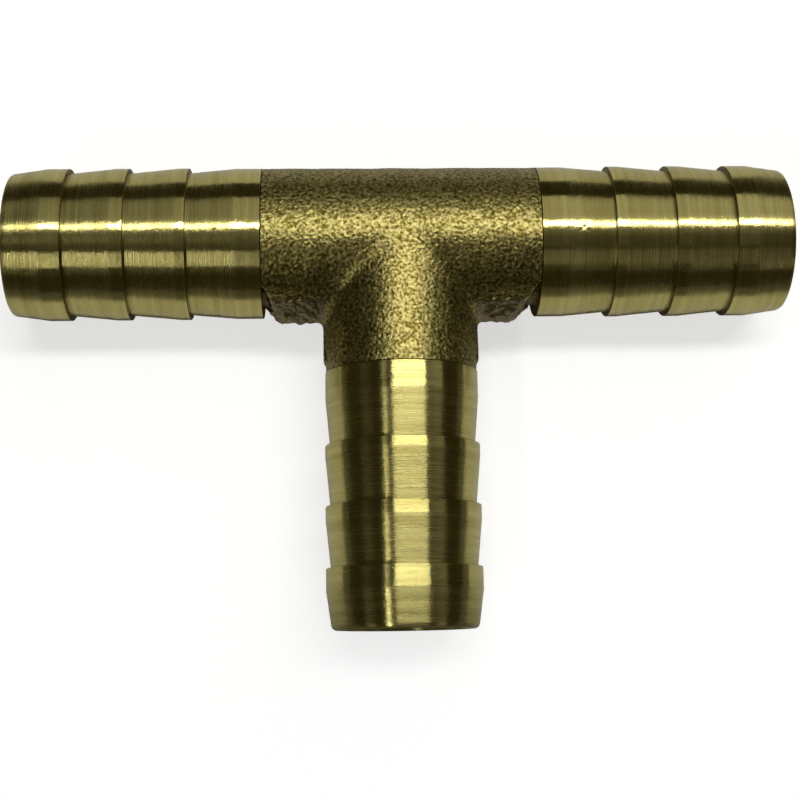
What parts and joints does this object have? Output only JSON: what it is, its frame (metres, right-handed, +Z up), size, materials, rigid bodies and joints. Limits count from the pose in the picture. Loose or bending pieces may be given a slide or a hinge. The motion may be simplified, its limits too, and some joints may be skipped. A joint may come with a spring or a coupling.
{
  "type": "barbed tee connector",
  "caption": "Brass hose tee with barbed tails that joins a branch hose to a run of hose, in line and at a right angle.",
  "frame": {"origin": "on the surface the tee lies on, under the middle of its bounding box", "axes": "+X along the run, -Y the way the branch points, +Z up, square to the plane of the tee"},
  "size_m": [0.065, 0.0388, 0.0128],
  "materials": {
    "forged_brass": "blasted, satin",
    "turned_brass": "turned, bright",
    "braze_filler": "as flowed"
  },
  "bodies": {
    "root": {"tee_body": "forged_brass", "left_tail": "turned_brass", "right_tail": "turned_brass", "branch_tail": "turned_brass", "left_braze_ring": "braze_filler", "right_braze_ring": "braze_filler", "branch_braze_ring": "braze_filler"}
  },
  "joints": []
}
